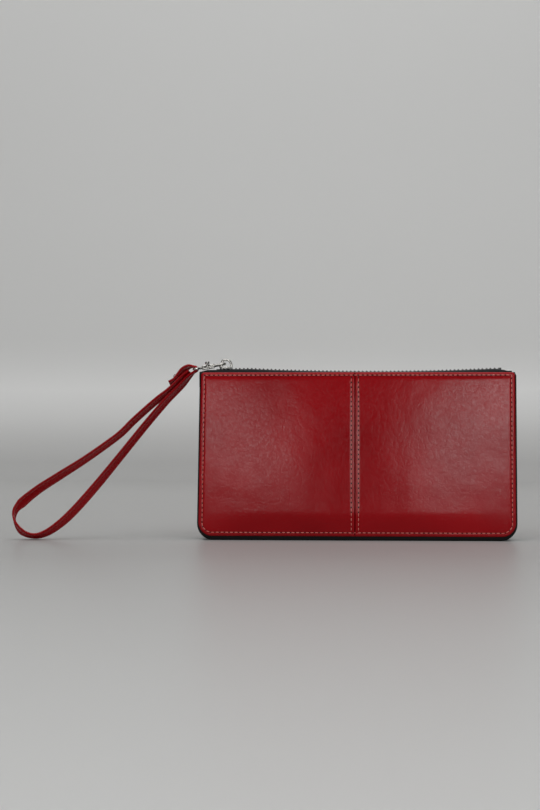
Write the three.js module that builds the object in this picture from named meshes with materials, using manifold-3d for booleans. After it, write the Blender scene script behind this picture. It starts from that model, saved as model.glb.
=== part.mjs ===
// Wristlet wallet: a flat leather clutch with a top zipper, whose slider carries a snap clasp, a swivel ring
// and a looped wrist strap. Millimetres, +Z up, front face towards -Y, origin at the centre of the base.
import * as THREE from "three";
import { mergeVertices } from "three/addons/utils/BufferGeometryUtils.js";
import Module from "manifold-3d";

const wasm = await Module();
wasm.setup();

// ---- Driving dimensions ------------------------------------------------------------------------------
const WIDTH = 200; // over the painted edges
const HEIGHT = 105; // base to the top edge of the leather
const DEPTH = 22; // front face to rear face, wallet empty
const CORNER_RADIUS = 10.5; // bottom corners
const TOP_RADIUS = 2; // top corners
const GAP = 0.3; // between faces that touch on the real wallet

const LEATHER = 1.3; // outer leather
const BOARD = 1.2; // stiffener board behind the leather
const RIM = 0.9; // painted board edge that shows past the leather at the sides
const LOW_RIM = 2.6; // and below it
const SEAM_X = -1; // centre seam of a front or rear face
const BOARD_DROP = 0.4; // board's top edge below the leather's
const GUSSET = 0.8; // gusset leather
const GUSSET_DROP = 3.5; // side gusset's top edge below the wallet's: the swivel ring turns over it
const LINING = 0.4;
const LINING_MARGIN = 2; // lining's edge inside the gusset

const ZIP_RISE = 1.8; // middle of the tooth rows above the leather's top edge
const ZIP_LEFT = 11.6; // left end of the zip from the wallet's left edge
const ZIP_RIGHT = 11; // end stop from the wallet's right edge
const TAPE = 0.6;
const TAPE_DEPTH = 9; // how far the tape reaches down inside the wallet
const TAPE_FLAT = 1.9; // level part of the tape beside the teeth
const TAPE_SHOULDER = 2.8; // the tape's bend, below the middle of its tooth row
const TAB = 0.9; // end tabs of the zip
const TAB_INSET = 2.6; // tabs' outer ends inside the gussets, clear of the swivel ring as it turns

const POCKET_MARGIN = 8; // inner pockets stay this far inside the wallet's sides
const POCKET_FLOOR = 6; // lowest edge of the inner pockets
const COIN_ZIP_Z = HEIGHT - 14;
const COIN_HEIGHT = COIN_ZIP_Z - 5; // top of the coin pocket's walls
const COIN_WALL = 0.5;
const COIN_HOLLOW = 4.8; // room between the coin pocket's walls
const COIN_ZIP_MARGIN = 20; // coin zip's ends from the wallet's sides
const COIN_TAPE_DEPTH = 11; // coin zip's tape, down from the middle of its rows
const CARD_LEAF = 0.6;
const CARD_STEP = 10; // each card leaf ends this much below the one behind it
const CARD_DROP = 8; // highest card leaf's top below the coin pocket's
const CARD_CORNER = 3;
const LEAF_COUNT = 3;

const STRAP_WIDTH = 8;
const STRAP = 1.4; // strap thickness
const STRAP_LEAN = 0.13; // sideways drift of the hanging loop, per length along the wallet

// A zip's sizes: half the chain's width, tooth height and length, how far a tooth crosses the middle, the
// bead's width, the pitch of one row, and how far the teeth stand proud of the bead
const MAIN_ZIP = { half: 2.6, height: 2.3, tooth: 0.9, cross: 1.0, bead: 0.9, pitch: 2.5, proud: 0.2 };
const COIN_ZIP = { half: 2.1, height: 1.8, tooth: 0.8, cross: 0.7, bead: 0.7, pitch: 2.4, proud: 0 };
const STOP_LENGTH = 1.6; // end stops
// A slider's sizes: its length, plate and side flange thickness, post length and width, bridge height and bar
const MAIN_SLIDER = { length: 8.8, plate: 0.7, flange: 1, post: 1.5, postWidth: 1.6, bridge: 4.7, bar: 1.2 };
const COIN_SLIDER = { length: 7, plate: 0.6, flange: 0.6, post: 1.2, postWidth: 1.2, bridge: 3, bar: 0.8 };

const PULL = 0.9; // coin zip's pull: its thickness, sizes, eye and height over the slider's plate
const PULL_LENGTH = 10.7;
const PULL_WIDTH = 5;
const PULL_EYE = 4;
const PULL_EYE_WALL = 1.1;
const PULL_UP = 1.2;
const SLIDER_START = 1.8; // slider's nose from the left end of its rows, zip closed
const SLIDER_INSET = 0.3; // post and rear leg inside the ends of the plates
const BRIDGE_LEG = 1; // bridge's front leg from the nose

// Clasp, measured along it from its pivot, where its hook turns inside the slider's bridge
const CLASP_DROOP = THREE.MathUtils.degToRad(10);
const PIVOT_OUT = 1.5; // pivot from the bridge's front leg
const PIVOT_UP = 1.65; // pivot above the slider's top plate
const HOOK_RADIUS = 3; // middle of the hook's wire
const HOOK_WIRE = 1.3;
const HOOK_TIP = 3.6; // front arm's end, where the gate meets it
const CLASP_START = 6.5; // solid part of the clasp
const CLASP_END = 14.9;
const CLASP_WIDTH = 8;
const CLASP_THICKNESS = 2.2;
const GATE_WIDTH = 0.9;
const GATE_END = 11.4;
const GATE_TRAVEL = 2.2;
const STUD_AT = 10.7; // thumb stud on the gate
const STUD_STEM = 0.45; // radii of the stud's stem and of its knob
const STUD_KNOB = 0.9;
const SPRING_END = 14.2; // gate's spring fills the channel from the gate to here
const SPRING_RADIUS = 0.32;
const SPRING_WIRE = 0.24;
const SPRING_TURNS = 4;
const SWIVEL_BORE = 0.95; // radius
const SWIVEL_NECK = 0.6; // radius
const SWIVEL_HEAD = 1.3; // radius
const SWIVEL_WINDOW = [11.4, 13.2]; // hollow round the swivel's head
const RING_WIRE = 1.3;
const RING_START = 15.5;
const RING_HOLE = STRAP + 0.8; // room along the ring for the strap round its bar
const RING_BAR = RING_START + 1.5 * RING_WIRE + RING_HOLE; // middle of the bar

const LAP = 0.1; // how far shapes that are joined into one run into each other

// ---- Places worked out from the dimensions -----------------------------------------------------------
const HALF = WIDTH / 2;
const leatherFace = DEPTH / 2; // outer faces, as distances from the middle plane
const boardFace = leatherFace - LEATHER - GAP;
const liningFace = boardFace - BOARD - GAP;
const gussetInner = HALF - GUSSET;
const chainZ = HEIGHT + ZIP_RISE;
const zipLeft = -HALF + ZIP_LEFT;
const zipRight = HALF - ZIP_RIGHT;
const coinOuter = COIN_HOLLOW / 2 + COIN_WALL;
const pocketHalf = HALF - POCKET_MARGIN;

const finish = {
  leather: { color: 0x8c1016, roughness: 0.32, metalness: 0 },
  blackEdge: { color: 0x111112, roughness: 0.5, metalness: 0 },
  lining: { color: 0x2a1c1b, roughness: 0.85, metalness: 0 },
  tape: { color: 0x0c0c0d, roughness: 0.8, metalness: 0 },
  teeth: { color: 0x09090a, roughness: 0.35, metalness: 0 },
  metal: { color: 0xc9c8c4, roughness: 0.2, metalness: 1 },
};

const wallet = new THREE.Group();

function add(name, geometry, look, parent = wallet) {
  const mesh = new THREE.Mesh(geometry, new THREE.MeshStandardMaterial(finish[look]));
  mesh.name = name;
  parent.add(mesh);
  return mesh;
}

// ---- Shapes ------------------------------------------------------------------------------------------
function solid(geometry) {
  const bare = new THREE.BufferGeometry();
  bare.setAttribute("position", geometry.getAttribute("position"));
  if (geometry.index) bare.setIndex(geometry.index);
  const merged = mergeVertices(bare, 1e-5);
  return new wasm.Manifold(new wasm.Mesh({
    numProp: 3,
    vertProperties: new Float32Array(merged.getAttribute("position").array),
    triVerts: new Uint32Array(merged.index.array),
  }));
}

function geometryOf(manifold) {
  const mesh = manifold.getMesh();
  const geometry = new THREE.BufferGeometry();
  geometry.setAttribute("position", new THREE.BufferAttribute(mesh.vertProperties, 3));
  geometry.setIndex(new THREE.BufferAttribute(mesh.triVerts, 1));
  return geometry;
}

const join = (shapes) => geometryOf(shapes.map(solid).reduce((whole, next) => whole.add(next)));

function cut(from, tools) {
  return geometryOf(tools.map(solid).reduce((rest, tool) => rest.subtract(tool), solid(from)));
}

function block([x0, x1], [y0, y1], [z0, z1]) {
  const box = new THREE.BoxGeometry(x1 - x0, y1 - y0, z1 - z0);
  return box.translate((x0 + x1) / 2, (y0 + y1) / 2, (z0 + z1) / 2);
}

// A shape drawn in X and Z, given a thickness along Y from y0 to y1.
function slab(shape, y0, y1, curveSegments = 8) {
  const geometry = new THREE.ExtrudeGeometry(shape, { depth: y1 - y0, bevelEnabled: false, curveSegments });
  return geometry.rotateX(Math.PI / 2).translate(0, y1, 0);
}

// The same on either side of the wallet: side is -1 for the front and 1 for the rear, near and far are
// distances from the middle plane.
function sideSlab(shape, side, near, far) {
  return side < 0 ? slab(shape, -far, -near) : slab(shape, near, far);
}

function polygon(points) {
  return new THREE.Shape(points.map(([x, z]) => new THREE.Vector2(x, z)));
}

// An upright panel from left to right and bottom to top, with its own four corner radii.
function panelShape(left, right, bottom, top, [lowLeft, lowRight, topRight, topLeft]) {
  const shape = new THREE.Shape();
  shape.moveTo(left + lowLeft, bottom);
  shape.lineTo(right - lowRight, bottom);
  if (lowRight) shape.absarc(right - lowRight, bottom + lowRight, lowRight, -Math.PI / 2, 0);
  shape.lineTo(right, top - topRight);
  if (topRight) shape.absarc(right - topRight, top - topRight, topRight, 0, Math.PI / 2);
  shape.lineTo(left + topLeft, top);
  if (topLeft) shape.absarc(left + topLeft, top - topLeft, topLeft, Math.PI / 2, Math.PI);
  shape.lineTo(left, bottom + lowLeft);
  if (lowLeft) shape.absarc(left + lowLeft, bottom + lowLeft, lowLeft, Math.PI, Math.PI * 1.5);
  return shape;
}

// ---- Outer faces, boards and gussets -----------------------------------------------------------------
function addFace(name, side) {
  const low = CORNER_RADIUS - (RIM + LOW_RIM) / 2;
  const seamHalf = GAP / 2;
  const inner = leatherFace - LEATHER;
  const left = panelShape(-HALF + RIM, SEAM_X - seamHalf, LOW_RIM, HEIGHT, [low, 0, 0, TOP_RADIUS]);
  const right = panelShape(SEAM_X + seamHalf, HALF - RIM, LOW_RIM, HEIGHT, [0, low, TOP_RADIUS, 0]);
  add(`${name}_leather_left`, sideSlab(left, side, inner, leatherFace), "leather");
  add(`${name}_leather_right`, sideSlab(right, side, inner, leatherFace), "leather");

  const boardRadii = [CORNER_RADIUS, CORNER_RADIUS, TOP_RADIUS, TOP_RADIUS];
  const board = panelShape(-HALF, HALF, 0, HEIGHT - BOARD_DROP, boardRadii);
  add(`${name}_board`, sideSlab(board, side, boardFace - BOARD, boardFace), "blackEdge");

  const edge = gussetInner - LINING_MARGIN;
  const liningTop = HEIGHT - TAPE_DEPTH - GAP;
  const liningRadius = CORNER_RADIUS - GUSSET - LINING_MARGIN;
  const floor = GUSSET + LINING_MARGIN;
  const lining = panelShape(-edge, edge, floor, liningTop, [liningRadius, liningRadius, 0, 0]);
  add(`${name}_lining`, sideSlab(lining, side, liningFace - LINING, liningFace), "lining");
}

// A side gusset runs down the wallet's side and round its bottom corner, to GAP short of the bottom gusset.
function sideGussetShape(side) {
  const bend = (radius, x) => side * (x - CORNER_RADIUS + radius);
  const top = HEIGHT - GUSSET_DROP;
  const inner = CORNER_RADIUS - GUSSET;
  const steps = 8;
  const arc = (radius) => Array.from({ length: steps + 1 }, (_, i) => {
    const angle = (i / steps) * (Math.PI / 2);
    const out = radius * Math.cos(angle);
    return [side * (HALF - CORNER_RADIUS + out), CORNER_RADIUS - radius * Math.sin(angle)];
  });
  const outline = [[bend(CORNER_RADIUS, HALF), top], ...arc(CORNER_RADIUS), ...arc(inner).reverse()];
  outline.push([bend(inner, HALF), top]);
  return polygon(side > 0 ? outline.reverse() : outline);
}

function addGussets() {
  add("gusset_left", slab(sideGussetShape(-1), -liningFace, liningFace), "blackEdge");
  add("gusset_right", slab(sideGussetShape(1), -liningFace, liningFace), "blackEdge");
  const reach = HALF - CORNER_RADIUS - GAP;
  add("gusset_bottom", block([-reach, reach], [-liningFace, liningFace], [0, GUSSET]), "blackEdge");
}

// ---- Zips --------------------------------------------------------------------------------------------
// One row of teeth on its bead. side is -1 for the front row and 1 for the rear row, whose teeth stand half a
// pitch along so that the rows mesh. teethFrom leaves the bead bare where the slider's post stands; the block
// at the left end is the stop.
function toothRow(zip, side, z, [left, right], teethFrom) {
  const across = (near, far) => (side < 0 ? [-far, -near] : [near, far]);
  const bead = [z - zip.height / 2 + zip.proud, z + zip.height / 2 - zip.proud];
  const tall = [z - zip.height / 2, z + zip.height / 2];
  const beadInner = zip.half - zip.bead;
  const pieces = [block([left, right], across(beadInner, zip.half), bead)];
  const stopLength = zip.pitch / 2;
  pieces.push(block([left, left + stopLength], across(beadInner - zip.proud, zip.half), tall));
  const first = teethFrom + zip.tooth / 2 + (side > 0 ? zip.pitch / 2 : 0);
  for (let x = first; x < right - zip.tooth / 2; x += zip.pitch) {
    const thickness = [x - zip.tooth / 2, x + zip.tooth / 2];
    pieces.push(block(thickness, across(-zip.cross, zip.half - zip.proud / 2), tall));
  }
  return join(pieces);
}

// A slider round the middle of its tooth rows, its tail end at x = 0 and its nose towards -X.
function sliderGeometry(zip, size) {
  const top = zip.height / 2 + GAP;
  const outer = zip.half + GAP * 2 + size.flange;
  const nose = -size.length;
  const deck = top + size.plate;
  const plate = (z0, z1) => {
    const r = size.length / 4;
    const outline = panelShape(nose, 0, -outer, outer, [r * 0.7, r, r, r * 0.7]);
    const sheet = { depth: z1 - z0, bevelEnabled: false, curveSegments: 4 };
    return new THREE.ExtrudeGeometry(outline, sheet).translate(0, 0, z0);
  };
  const flangeReach = [nose + size.length / 4, -size.length / 4];
  const flangeZ = [TAPE / 2 + GAP, top + LAP];
  const flanges = [-1, 1].flatMap((side) => [-1, 1].map((end) => {
    const y = side < 0 ? [-outer, -outer + size.flange] : [outer - size.flange, outer];
    return block(flangeReach, y, end < 0 ? [-flangeZ[1], -flangeZ[0]] : flangeZ);
  }));
  const postFrom = nose + SLIDER_INSET;
  const postHalf = size.postWidth / 2;
  const post = block([postFrom, postFrom + size.post], [-postHalf, postHalf], [-top - LAP, top + LAP]);
  const [legLeft, legRight] = [nose + BRIDGE_LEG, -SLIDER_INSET];
  const barHalf = size.bar * 0.9;
  const crown = new THREE.Shape();
  crown.moveTo(legLeft, deck - LAP);
  crown.lineTo(legRight, deck - LAP);
  crown.quadraticCurveTo(legRight, deck + size.bridge, (legLeft + legRight) / 2, deck + size.bridge);
  crown.lineTo(legLeft + size.bar, deck + size.bridge);
  crown.quadraticCurveTo(legLeft, deck + size.bridge, legLeft, deck + size.bridge - size.bar);
  const eye = new THREE.Path();
  eye.moveTo(legLeft + size.bar, deck + LAP);
  eye.lineTo(legLeft + size.bar, deck + size.bridge - size.bar);
  eye.lineTo((legLeft + legRight) / 2, deck + size.bridge - size.bar);
  eye.quadraticCurveTo(legRight - size.bar, deck + size.bridge - size.bar, legRight - size.bar, deck + LAP);
  crown.holes.push(eye);
  const bridge = slab(crown, -barHalf, barHalf, 5);
  return join([plate(top, deck), plate(-deck, -top), ...flanges, post, bridge]);
}

// The tape's section in Y and Z: level beside the teeth, then down the wall that stands at wallAt.
function tapeSection(side, zip, z, wallAt, low) {
  const inner = zip.half + GAP;
  const level = inner + TAPE_FLAT;
  const half = TAPE / 2;
  const shoulder = z - TAPE_SHOULDER;
  const points = [[wallAt, low], [wallAt - TAPE, low], [wallAt - TAPE, shoulder], [level - GAP, z - half],
    [inner, z - half], [inner, z + half], [level, z + half], [wallAt, shoulder + TAPE]];
  return side < 0 ? points.map(([y, h]) => [-y, h]).reverse() : points;
}

function tapeGeometry(section, left, right) {
  const geometry = new THREE.ExtrudeGeometry(polygon(section), { depth: right - left, bevelEnabled: false });
  // The section's own axes become Y and Z, and its depth runs along X.
  return geometry.applyMatrix4(new THREE.Matrix4().set(0, 0, 1, left, 1, 0, 0, 0, 0, 1, 0, 0, 0, 0, 0, 1));
}

const sliderNose = zipLeft + SLIDER_START;

// The metal clip round both rows where the zip ends.
function endStop(zip, x, z) {
  return block([x, x + STOP_LENGTH], [-zip.half, zip.half], [z - zip.height / 2, z + zip.height / 2]);
}

function addMainZip() {
  const span = [zipLeft, zipRight - GAP];
  const postEnd = sliderNose + SLIDER_INSET + MAIN_SLIDER.post;
  for (const [name, side] of [["front", -1], ["rear", 1]]) {
    const section = tapeSection(side, MAIN_ZIP, chainZ, liningFace, HEIGHT - TAPE_DEPTH);
    add(`${name}_zip_tape`, tapeGeometry(section, zipLeft - GAP, zipRight + STOP_LENGTH + GAP), "tape");
    add(`${name}_teeth`, toothRow(MAIN_ZIP, side, chainZ, span, postEnd + GAP), "teeth");
  }
  add("zip_end_stop", endStop(MAIN_ZIP, zipRight, chainZ), "metal");
  const tabY = [-liningFace + TAPE, liningFace - TAPE];
  const tabZ = [HEIGHT, HEIGHT + TAB];
  const tabEnd = gussetInner - TAB_INSET;
  add("zip_tab_left", block([-tabEnd, zipLeft - GAP * 2], tabY, tabZ), "tape");
  add("zip_tab_right", block([zipRight + STOP_LENGTH + GAP * 2, tabEnd], tabY, tabZ), "tape");
  const slider = add("slider_body", sliderGeometry(MAIN_ZIP, MAIN_SLIDER), "metal");
  slider.position.set(sliderNose + MAIN_SLIDER.length, 0, chainZ);
}

// ---- Inside: linings' pockets ------------------------------------------------------------------------
function addCardLeaves() {
  for (let i = 0; i < LEAF_COUNT; i += 1) {
    const far = liningFace - LINING - GAP - i * (CARD_LEAF + GAP);
    const top = COIN_HEIGHT - CARD_DROP - i * CARD_STEP;
    const leaf = panelShape(-pocketHalf, pocketHalf, POCKET_FLOOR, top, [CARD_CORNER, CARD_CORNER, 0, 0]);
    add(`card_leaf_${i + 1}`, sideSlab(leaf, 1, far - CARD_LEAF, far), "lining");
  }
}

function addCoinPocket() {
  const inner = COIN_HOLLOW / 2;
  const wall = panelShape(-pocketHalf, pocketHalf, POCKET_FLOOR, COIN_HEIGHT, [0, 0, 0, 0]);
  const zipHalf = HALF - COIN_ZIP_MARGIN;
  const coinNose = -zipHalf + SLIDER_START;
  const seat = inner - GAP;
  for (const [name, side] of [["front", -1], ["rear", 1]]) {
    add(`coin_wall_${name}`, sideSlab(wall, side, inner, coinOuter), "lining");
    const wallAt = coinOuter + GAP + TAPE;
    const section = tapeSection(side, COIN_ZIP, COIN_ZIP_Z, wallAt, COIN_ZIP_Z - COIN_TAPE_DEPTH);
    add(`coin_tape_${name}`, tapeGeometry(section, -zipHalf, zipHalf), "tape");
    const postEnd = coinNose + SLIDER_INSET + COIN_SLIDER.post;
    const row = toothRow(COIN_ZIP, side, COIN_ZIP_Z, [-zipHalf, zipHalf - GAP], postEnd + GAP);
    add(`coin_teeth_${name}`, row, "teeth");
  }
  const bindingSpan = [POCKET_FLOOR + GUSSET + GAP, COIN_HEIGHT];
  add("coin_binding_left", block([-pocketHalf, -pocketHalf + GUSSET], [-seat, seat], bindingSpan), "lining");
  add("coin_binding_right", block([pocketHalf - GUSSET, pocketHalf], [-seat, seat], bindingSpan), "lining");
  const floor = [POCKET_FLOOR, POCKET_FLOOR + GUSSET];
  add("coin_binding_bottom", block([-pocketHalf, pocketHalf], [-seat, seat], floor), "lining");
  add("coin_end_stop", endStop(COIN_ZIP, zipHalf, COIN_ZIP_Z), "metal");
  const slider = add("coin_slider", sliderGeometry(COIN_ZIP, COIN_SLIDER), "metal");
  slider.position.set(coinNose + COIN_SLIDER.length, 0, COIN_ZIP_Z);
  const eyeZ = COIN_ZIP_Z + COIN_ZIP.height / 2 + GAP + COIN_SLIDER.plate + PULL_UP;
  const pull = add("coin_pull", pullGeometry(), "metal");
  pull.position.set(coinNose + BRIDGE_LEG + COIN_SLIDER.bar, 0, eyeZ);
}

// A flat pull, lying back over the zip's closed end. Its eye goes round the bridge leg, which ends at x = 0.
function pullGeometry() {
  const end = GAP + PULL_EYE_WALL;
  const half = PULL_WIDTH / 2;
  const outline = panelShape(end - PULL_LENGTH, end, -half, half, [1, 1, 1, 1]);
  const eyeHalf = half - 1;
  const eye = block([GAP - PULL_EYE, GAP], [-eyeHalf, eyeHalf], [-PULL, PULL]);
  const flat = new THREE.ExtrudeGeometry(outline, { depth: PULL, bevelEnabled: false, curveSegments: 4 });
  return cut(flat.translate(0, 0, -PULL / 2), [eye]);
}

// ---- Clasp and swivel ring ---------------------------------------------------------------------------
const pivotX = sliderNose + BRIDGE_LEG + MAIN_SLIDER.bar + PIVOT_OUT;
const pivotZ = chainZ + MAIN_ZIP.height / 2 + GAP + MAIN_SLIDER.plate + PIVOT_UP;

const clasp = new THREE.Group();
clasp.position.set(pivotX, 0, pivotZ);
clasp.rotation.y = -CLASP_DROOP; // the clasp lies along -X and droops to the swivel
wallet.add(clasp);

const along = (from, to) => [-to, -from]; // a stretch of the clasp, given as distances from the pivot

const gateHalf = GATE_WIDTH / 2;
const channelHalf = gateHalf + GAP;

function flatPiece(outline, half) {
  const flat = new THREE.ExtrudeGeometry(outline, { depth: half * 2, bevelEnabled: false, curveSegments: 8 });
  return flat.translate(0, 0, -half);
}

// The hook is a U whose bend turns in the bridge. Its front arm is cut short where the gate closes it.
function hookShape() {
  const [inner, outer] = [HOOK_RADIUS - HOOK_WIRE / 2, HOOK_RADIUS + HOOK_WIRE / 2];
  const root = -CLASP_START - LAP;
  const middle = -HOOK_RADIUS;
  const shape = new THREE.Shape();
  shape.moveTo(root, outer);
  shape.lineTo(root, inner);
  shape.lineTo(middle, inner);
  shape.absarc(middle, 0, inner, Math.PI / 2, -Math.PI / 2, true);
  shape.lineTo(-HOOK_TIP, -inner);
  shape.lineTo(-HOOK_TIP, -outer);
  shape.lineTo(middle, -outer);
  shape.absarc(middle, 0, outer, -Math.PI / 2, Math.PI / 2, false);
  return shape;
}

function claspGeometry() {
  const half = CLASP_WIDTH / 2;
  const [farCorner, nearCorner] = [half * 0.65, half * 0.2];
  const corners = [farCorner, nearCorner, nearCorner, farCorner];
  const outline = panelShape(-CLASP_END, -CLASP_START, -half, half, corners);
  const body = join([flatPiece(outline, CLASP_THICKNESS / 2), flatPiece(hookShape(), HOOK_WIRE / 2)]);
  const stemHalf = STUD_STEM + GAP;
  const headHalf = SWIVEL_HEAD + GAP;
  const [windowFrom, windowTo] = SWIVEL_WINDOW;
  const boreLength = CLASP_END - windowTo + 2 * LAP;
  const bore = new THREE.CylinderGeometry(SWIVEL_BORE, SWIVEL_BORE, boreLength, 12).rotateZ(Math.PI / 2);
  return cut(body, [
    block(along(CLASP_START - 1, SPRING_END), [-HOOK_RADIUS - channelHalf, channelHalf - HOOK_RADIUS],
      [-channelHalf, channelHalf]),
    block(along(STUD_AT - stemHalf, STUD_AT + stemHalf + GATE_TRAVEL),
      [-HOOK_RADIUS - stemHalf, stemHalf - HOOK_RADIUS], [0, CLASP_THICKNESS]),
    block(along(windowFrom, windowTo), [-headHalf, headHalf], [-CLASP_THICKNESS, CLASP_THICKNESS]),
    bore.translate(LAP - windowTo - boreLength / 2, 0, 0),
  ]);
}

function gateGeometry() {
  const across = [-HOOK_RADIUS - gateHalf, gateHalf - HOOK_RADIUS];
  const bolt = block(along(HOOK_TIP + GAP, GATE_END), across, [-gateHalf, gateHalf]);
  const knobFrom = CLASP_THICKNESS / 2 + GAP;
  const stem = new THREE.CylinderGeometry(STUD_STEM, STUD_STEM, knobFrom + LAP, 12).rotateX(Math.PI / 2);
  const knob = new THREE.CylinderGeometry(STUD_KNOB, STUD_KNOB * 0.8, STUD_KNOB, 16).rotateX(Math.PI / 2);
  stem.translate(-STUD_AT, -HOOK_RADIUS, (knobFrom + LAP) / 2);
  knob.translate(-STUD_AT, -HOOK_RADIUS, knobFrom + STUD_KNOB / 2);
  return join([bolt, stem, knob]);
}

function springGeometry() {
  const room = GAP + SPRING_WIRE / 4;
  const [from, to] = [GATE_END + room, SPRING_END - room];
  class Coil extends THREE.Curve {
    getPoint(t, target = new THREE.Vector3()) {
      const angle = t * SPRING_TURNS * Math.PI * 2;
      const y = SPRING_RADIUS * Math.cos(angle) - HOOK_RADIUS;
      return target.set(-from - t * (to - from), y, SPRING_RADIUS * Math.sin(angle));
    }
  }
  const wire = new THREE.Shape();
  wire.absarc(0, 0, SPRING_WIRE / 2, 0, Math.PI * 2);
  const coil = { steps: SPRING_TURNS * 9, extrudePath: new Coil(), curveSegments: 3, bevelEnabled: false };
  return new THREE.ExtrudeGeometry(wire, coil);
}

// The stud turns in the clasp's bore, held by its head in the window. The ring's far bar carries the strap.
function swivelGeometry() {
  const [windowFrom, windowTo] = SWIVEL_WINDOW;
  const headLength = (windowTo - windowFrom) * 0.55;
  const head = new THREE.CylinderGeometry(SWIVEL_HEAD, SWIVEL_HEAD, headLength, 16).rotateZ(Math.PI / 2);
  const middle = (windowFrom + windowTo) / 2;
  head.translate(-middle, 0, 0);
  const neckLength = RING_START + RING_WIRE / 2 - middle;
  const neck = new THREE.CylinderGeometry(SWIVEL_NECK, SWIVEL_NECK, neckLength, 12).rotateZ(Math.PI / 2);
  neck.translate(-middle - neckLength / 2, 0, 0);
  const ringHalf = STRAP_WIDTH / 2 + GAP + RING_WIRE;
  const end = RING_BAR + RING_WIRE / 2;
  const outline = panelShape(-end, -RING_START, -ringHalf, ringHalf, [0.9, 2.4, 2.4, 0.9]);
  const [holeEnd, holeStart, holeHalf] = [-end + RING_WIRE, -RING_START - RING_WIRE, ringHalf - RING_WIRE];
  const hole = panelShape(holeEnd, holeStart, -holeHalf, holeHalf, [0.3, 1, 1, 0.3]);
  outline.holes.push(new THREE.Path(hole.getPoints(4).reverse()));
  return join([head, neck, flatPiece(outline, RING_WIRE / 2)]);
}

add("clasp_body", claspGeometry(), "metal", clasp);
add("clasp_gate", gateGeometry(), "metal", clasp);
add("gate_spring", springGeometry(), "metal", clasp);
add("swivel_ring", swivelGeometry(), "metal", clasp);

// ---- Wrist strap -------------------------------------------------------------------------------------
// One strip: its cut end lies on top, turns round the ring's bar, runs down to the loop's far end on the
// table and comes back to be sewn between the two. Each point is X and Z of the strip's middle, measured from
// the bar, for a bar HANG above the table.
const barX = pivotX - RING_BAR * Math.cos(CLASP_DROOP);
const barZ = pivotZ - RING_BAR * Math.sin(CLASP_DROOP);
const HANG = 107.2;
const CORNER_ROOM = 0.05; // inside the wrap, past the corners of the square bar
const wrapRadius = RING_WIRE * Math.SQRT1_2 + CORNER_ROOM + STRAP / 2;
const CUT_END = [[-15.8, -9.2], [-12, -7.1], [-9.4, -4], [-6.8, -0.6], [-3.4, wrapRadius]];
const LOWER_RUN = [[-3.2, -4.6], [-7.4, -9.4], [-12, -14.2], [-16.4, -18.6], [-23, -26.2], [-31, -35.8],
  [-46, -54.5], [-61, -73], [-76, -90], [-84, -97.4], [-92, -103.4], [-98, -106], [-103, -105.6],
  [-108, -101.8]];
const UPPER_RUN = [[-111.8, -95.5], [-111.4, -89], [-107.4, -84], [-98, -76.2], [-84, -67], [-69, -57.4],
  [-54, -46.8], [-46, -40.6], [-38, -32.6], [-23, -19.2], [-16, -13.8], [-12, -10.7], [-8, -7], [-4.8, -3.8]];

function strapPath() {
  const wrap = [100, 50, 0, -45, -90].map((degrees) => {
    const angle = THREE.MathUtils.degToRad(degrees);
    return [wrapRadius * Math.cos(angle), wrapRadius * Math.sin(angle)];
  });
  const hang = ([x, z]) => [x, z * (barZ / HANG)];
  const stations = [...CUT_END, ...wrap, ...LOWER_RUN.map(hang), ...UPPER_RUN.map(hang)];
  const points = stations.map(([x, z]) => new THREE.Vector3(barX + x, barZ + z, 0));
  return new THREE.CatmullRomCurve3(points, false, "centripetal");
}

function strapGeometry() {
  const path = strapPath();
  const steps = 120;
  const edge = (side) => Array.from({ length: steps + 1 }, (_, i) => {
    const middle = path.getPoint(i / steps);
    const run = path.getTangent(i / steps);
    return [middle.x - side * run.y * STRAP / 2, middle.y + side * run.x * STRAP / 2];
  });
  const strip = slab(polygon([...edge(1), ...edge(-1).reverse()]), -STRAP_WIDTH / 2, STRAP_WIDTH / 2);
  const place = strip.getAttribute("position");
  const leanFrom = barX - STRAP_WIDTH;
  for (let i = 0; i < place.count; i += 1) {
    place.setY(i, place.getY(i) + STRAP_LEAN * Math.min(0, place.getX(i) - leanFrom));
  }
  return strip;
}

addFace("front", -1);
addFace("rear", 1);
addGussets();
addMainZip();
addCardLeaves();
addCoinPocket();
add("wrist_strap", strapGeometry(), "leather");

export default wallet;
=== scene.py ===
# %% [markdown]
# # A zip wallet with a wrist strap
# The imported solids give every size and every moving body. This script dresses them: it puts crowned
# leather, painted edges, stitches, a toothed zip, plated metal and a rolled-edge strap in their places.
# All new shapes are surfaces worked out with numpy, in millimetres, and turned into metres in one helper.

# %% Load the frame
import math

import bmesh
import bpy
import numpy as np
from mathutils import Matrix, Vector


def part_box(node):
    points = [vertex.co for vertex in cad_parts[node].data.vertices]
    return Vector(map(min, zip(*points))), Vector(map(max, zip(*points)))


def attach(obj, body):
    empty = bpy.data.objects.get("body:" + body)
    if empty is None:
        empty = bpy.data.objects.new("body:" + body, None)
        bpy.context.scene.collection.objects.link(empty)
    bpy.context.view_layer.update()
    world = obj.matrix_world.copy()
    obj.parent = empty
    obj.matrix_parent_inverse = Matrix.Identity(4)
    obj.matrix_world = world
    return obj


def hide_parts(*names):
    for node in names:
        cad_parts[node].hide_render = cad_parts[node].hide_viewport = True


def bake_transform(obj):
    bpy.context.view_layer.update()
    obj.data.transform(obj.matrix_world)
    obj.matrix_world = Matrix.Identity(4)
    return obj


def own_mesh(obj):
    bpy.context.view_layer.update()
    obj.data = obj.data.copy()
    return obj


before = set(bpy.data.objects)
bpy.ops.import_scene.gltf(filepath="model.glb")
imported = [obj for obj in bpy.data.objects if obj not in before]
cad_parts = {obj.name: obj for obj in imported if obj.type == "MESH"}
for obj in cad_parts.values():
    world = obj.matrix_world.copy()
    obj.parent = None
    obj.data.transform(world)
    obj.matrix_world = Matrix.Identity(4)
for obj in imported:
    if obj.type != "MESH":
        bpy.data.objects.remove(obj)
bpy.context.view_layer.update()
MM = 0.001


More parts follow.
